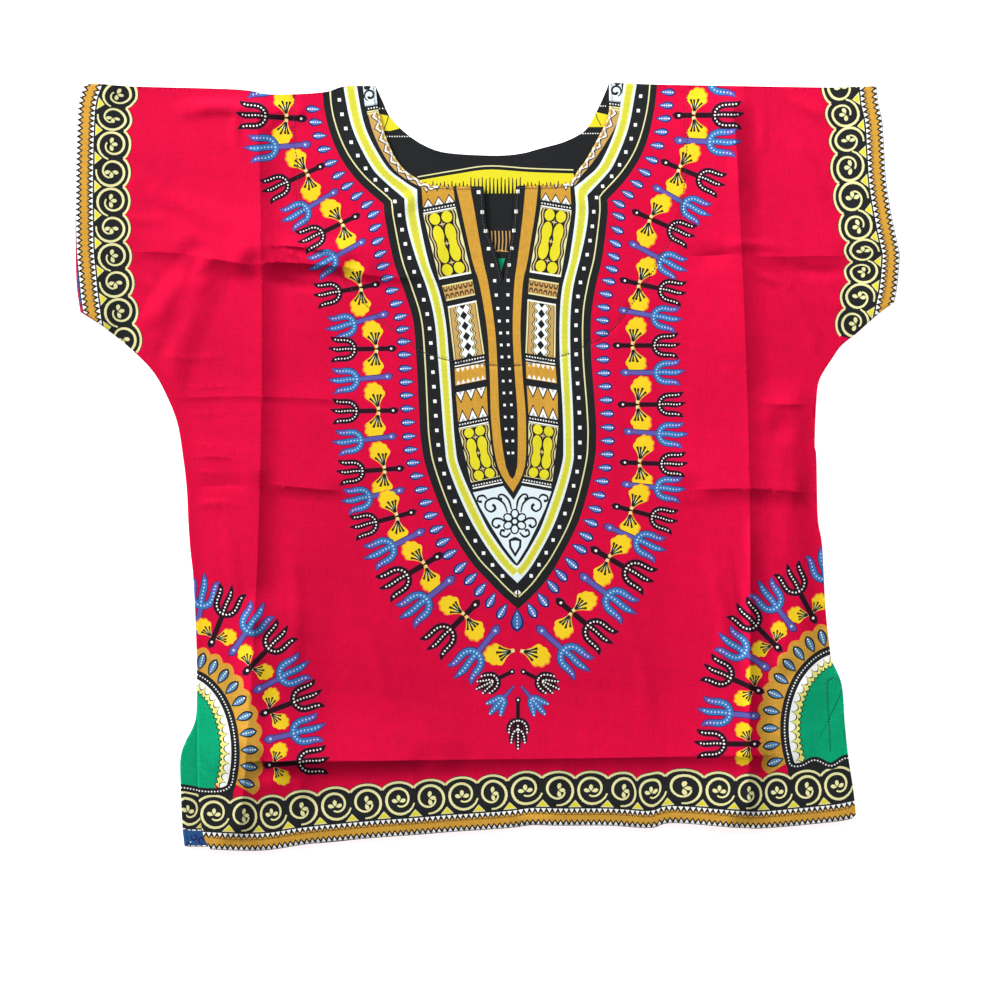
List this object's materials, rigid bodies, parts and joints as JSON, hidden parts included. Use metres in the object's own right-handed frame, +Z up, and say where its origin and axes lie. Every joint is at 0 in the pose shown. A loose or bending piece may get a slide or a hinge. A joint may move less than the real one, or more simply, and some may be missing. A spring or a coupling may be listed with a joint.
{
  "type": "dashiki shirt",
  "caption": "Short-sleeved pullover shirt in printed cotton, laid flat face up, with a wide neckline, a short front slit, side vents and turned-up hem and cuffs.",
  "frame": {"origin": "on the resting surface, under the middle of the shirt's box", "axes": "X runs across the shirt from the wearer's right sleeve to the left one as it lies face up, Y up to the neck, Z up from the surface it lies on"},
  "size_m": [0.8246, 0.7687, 0.0137],
  "materials": {
    "front_print": "plain-woven cotton with a printed border, yoke and corner motifs",
    "back_print": "plain-woven cotton with a printed border, yoke and corner motifs",
    "turnup_print": "plain-woven cotton, blue ground with dark curls",
    "sewing_thread": "spun polyester thread"
  },
  "bodies": {
    "root": {"front": "front_print", "back": "back_print", "front_hem_turnup": "turnup_print", "front_cuff_left_turnup": "turnup_print", "front_cuff_right_turnup": "turnup_print", "back_hem_turnup": "turnup_print", "back_cuff_left_turnup": "turnup_print", "back_cuff_right_turnup": "turnup_print"}
  },
  "joints": []
}
